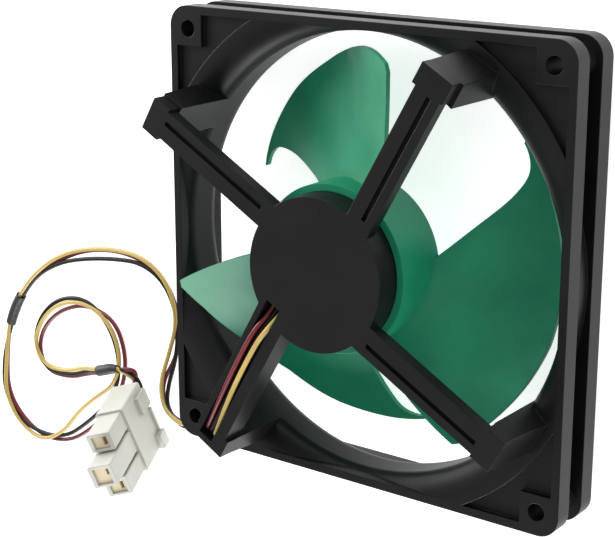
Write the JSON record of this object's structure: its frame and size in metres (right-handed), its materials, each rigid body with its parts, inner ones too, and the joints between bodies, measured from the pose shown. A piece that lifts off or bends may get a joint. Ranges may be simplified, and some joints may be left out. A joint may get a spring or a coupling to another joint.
{
  "type": "case fan",
  "caption": "Square axial fan with a raised motor mount on struts, a free-turning swept-blade impeller and leads ending in a plug.",
  "frame": {"origin": "on the surface that the fan lies on, under the centre of the square frame", "axes": "+Z along the impeller's axis towards the motor, +X and +Y along the frame's sides; the leads leave at the -X -Y corner"},
  "size_m": [0.2159, 0.148, 0.0407],
  "materials": {
    "housing_plastic": "satin moulded charcoal black",
    "impeller_plastic": "satin sea green, slightly translucent",
    "plug_plastic": "natural nylon",
    "red_insulation": "satin PVC",
    "black_insulation": "satin PVC",
    "yellow_insulation": "satin PVC",
    "sleeve_rubber": "satin shrink tube",
    "adhesive": "cloudy hot-melt",
    "contact_brass": "tinned brass",
    "brass": "turned",
    "bearing_steel": "ground",
    "core_steel": "stamped",
    "tinned_pins": "tinned",
    "insulator_plastic": "moulded nylon",
    "copper_wire": "enamelled copper winding",
    "board": "solder-masked glass-fibre board",
    "chip_plastic": "moulded epoxy",
    "capacitor_ceramic": "fired ceramic",
    "magnet": "bonded ferrite"
  },
  "bodies": {
    "housing": {"fan_housing": "housing_plastic", "bearing_tube": "brass", "front_bearing_outer_ring": "bearing_steel", "rear_bearing_outer_ring": "bearing_steel", "stator_core": "core_steel", "front_insulator": "insulator_plastic", "rear_insulator": "insulator_plastic", "stator_coil_1": "copper_wire", "stator_coil_2": "copper_wire", "stator_coil_3": "copper_wire", "stator_coil_4": "copper_wire", "terminal_pins": "tinned_pins", "circuit_board": "board", "driver_chip": "chip_plastic", "hall_sensor": "chip_plastic", "board_capacitors": "capacitor_ceramic", "board_resistors": "chip_plastic", "board_diode": "chip_plastic", "lead_red_in_frame": "red_insulation", "lead_black_in_frame": "black_insulation", "lead_yellow_in_frame": "yellow_insulation", "lead_red_free": "red_insulation", "lead_black_free": "black_insulation", "lead_yellow_free": "yellow_insulation", "long_loop_sleeve": "sleeve_rubber", "short_loop_sleeve": "sleeve_rubber", "lead_adhesive": "adhesive", "plug_housing": "plug_plastic", "plug_contacts": "contact_brass"},
    "rotor": {"impeller": "impeller_plastic", "rotor_yoke": "core_steel", "rotor_magnet": "magnet", "shaft": "bearing_steel", "shaft_bush": "brass", "preload_washer": "bearing_steel", "shaft_clip": "bearing_steel", "front_bearing_inner_ring": "bearing_steel", "rear_bearing_inner_ring": "bearing_steel"},
    "front_ball_set": {"front_bearing_cage": "bearing_steel", "front_bearing_balls": "bearing_steel"},
    "rear_ball_set": {"rear_bearing_cage": "bearing_steel", "rear_bearing_balls": "bearing_steel"}
  },
  "joints": [
    {"name": "impeller_spin", "type": "hinge", "parent": "housing", "child": "rotor", "pos_m": [0, 0, 0.0246], "axis": [0, 0, 1], "continuous": true},
    {"name": "front_ball_orbit", "type": "hinge", "parent": "housing", "child": "front_ball_set", "pos_m": [0, 0, 0.0351], "axis": [0, 0, 1], "continuous": true},
    {"name": "rear_ball_orbit", "type": "hinge", "parent": "housing", "child": "rear_ball_set", "pos_m": [0, 0, 0.023], "axis": [0, 0, 1], "continuous": true}
  ],
  "couplings": [
    {"joint": "front_ball_orbit", "follows": "impeller_spin", "ratio": 0.364},
    {"joint": "rear_ball_orbit", "follows": "impeller_spin", "ratio": 0.364}
  ]
}
